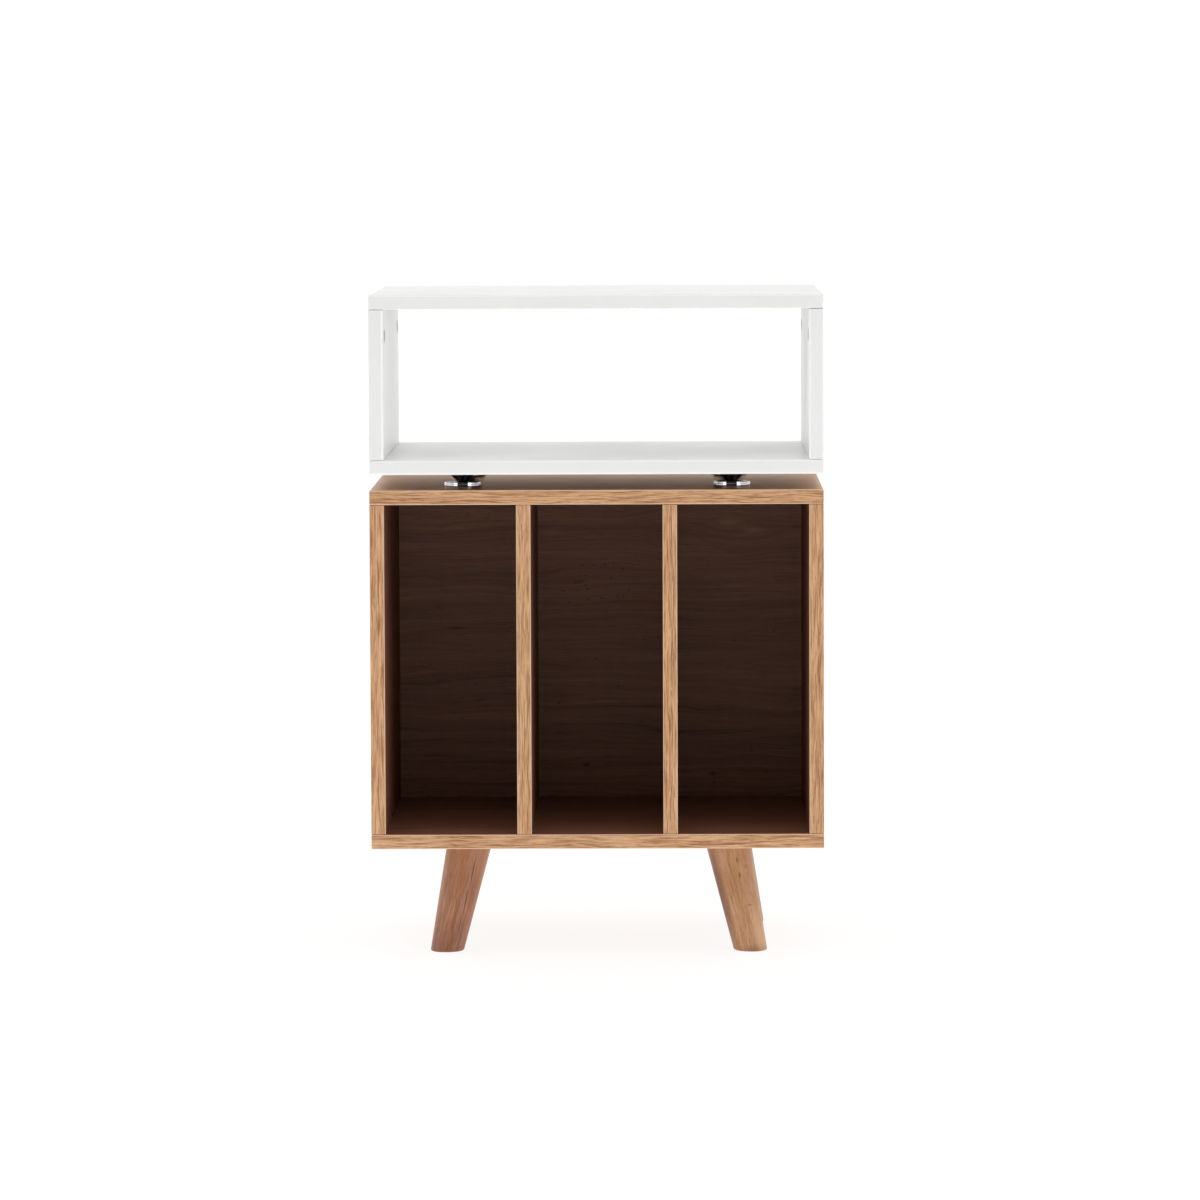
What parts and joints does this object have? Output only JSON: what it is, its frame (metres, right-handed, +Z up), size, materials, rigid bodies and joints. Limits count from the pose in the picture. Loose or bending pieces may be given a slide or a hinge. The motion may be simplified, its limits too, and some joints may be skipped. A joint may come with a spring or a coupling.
{
  "type": "stereo cabinet",
  "caption": "Open wooden record cabinet with upright dividers on splayed tapered legs, under a white open-ended shelf unit that stands on metal cone feet.",
  "frame": {"origin": "on the floor, under the middle of the cabinet", "axes": "+Z up, +X to the right seen from the front, the open front faces -Y"},
  "size_m": [0.5, 0.4, 0.7355],
  "materials": {
    "oak_board": "satin oak laminate outside, dark walnut inside",
    "walnut_board": "satin dark walnut laminate, grain across",
    "oak_edge": "satin oak edge strip",
    "white_lacquer": "white satin lacquer on board",
    "leg_wood": "oiled solid wood",
    "black_chrome": "polished black chrome",
    "chrome_disc": "polished chrome",
    "zinc": "die-cast zinc",
    "steel": "zinc-plated steel"
  },
  "bodies": {
    "root": {"cabinet_top": "oak_board", "cabinet_bottom": "oak_board", "cabinet_side_left": "oak_board", "cabinet_side_right": "oak_board", "divider_1": "walnut_board", "divider_2": "walnut_board", "cabinet_back_panel": "walnut_board", "edge_band_top": "oak_edge", "edge_band_bottom": "oak_edge", "edge_band_side_left": "oak_edge", "edge_band_side_right": "oak_edge", "edge_band_divider_1": "oak_edge", "edge_band_divider_2": "oak_edge", "shelf_top": "white_lacquer", "shelf_bottom": "white_lacquer", "shelf_side_left": "white_lacquer", "shelf_side_right": "white_lacquer", "leg_front_left": "leg_wood", "leg_front_right": "leg_wood", "leg_rear_left": "leg_wood", "leg_rear_right": "leg_wood", "isolation_cone_front_left": "black_chrome", "isolation_cone_front_right": "black_chrome", "isolation_cone_rear_left": "black_chrome", "isolation_cone_rear_right": "black_chrome", "cone_disc_front_left": "chrome_disc", "cone_disc_front_right": "chrome_disc", "cone_disc_rear_left": "chrome_disc", "cone_disc_rear_right": "chrome_disc", "shelf_cam_lock_front_left": "zinc", "shelf_cam_lock_front_right": "zinc", "shelf_cam_lock_rear_left": "zinc", "shelf_cam_lock_rear_right": "zinc", "cabinet_cam_lock_front_left": "zinc", "cabinet_cam_lock_front_right": "zinc", "cabinet_cam_lock_rear_left": "zinc", "cabinet_cam_lock_rear_right": "zinc", "shelf_cam_bolt_front_left": "steel", "shelf_cam_bolt_front_right": "steel", "shelf_cam_bolt_rear_left": "steel", "shelf_cam_bolt_rear_right": "steel", "cabinet_cam_bolt_front_left": "steel", "cabinet_cam_bolt_front_right": "steel", "cabinet_cam_bolt_rear_left": "steel", "cabinet_cam_bolt_rear_right": "steel", "shelf_screw_front_left": "steel", "shelf_screw_front_right": "steel", "shelf_screw_rear_left": "steel", "shelf_screw_rear_right": "steel", "cabinet_screw_front_left": "steel", "cabinet_screw_front_right": "steel", "cabinet_screw_rear_left": "steel", "cabinet_screw_rear_right": "steel", "divider_screw_front_1": "steel", "divider_screw_rear_1": "steel", "divider_screw_front_2": "steel", "divider_screw_rear_2": "steel"}
  },
  "joints": []
}
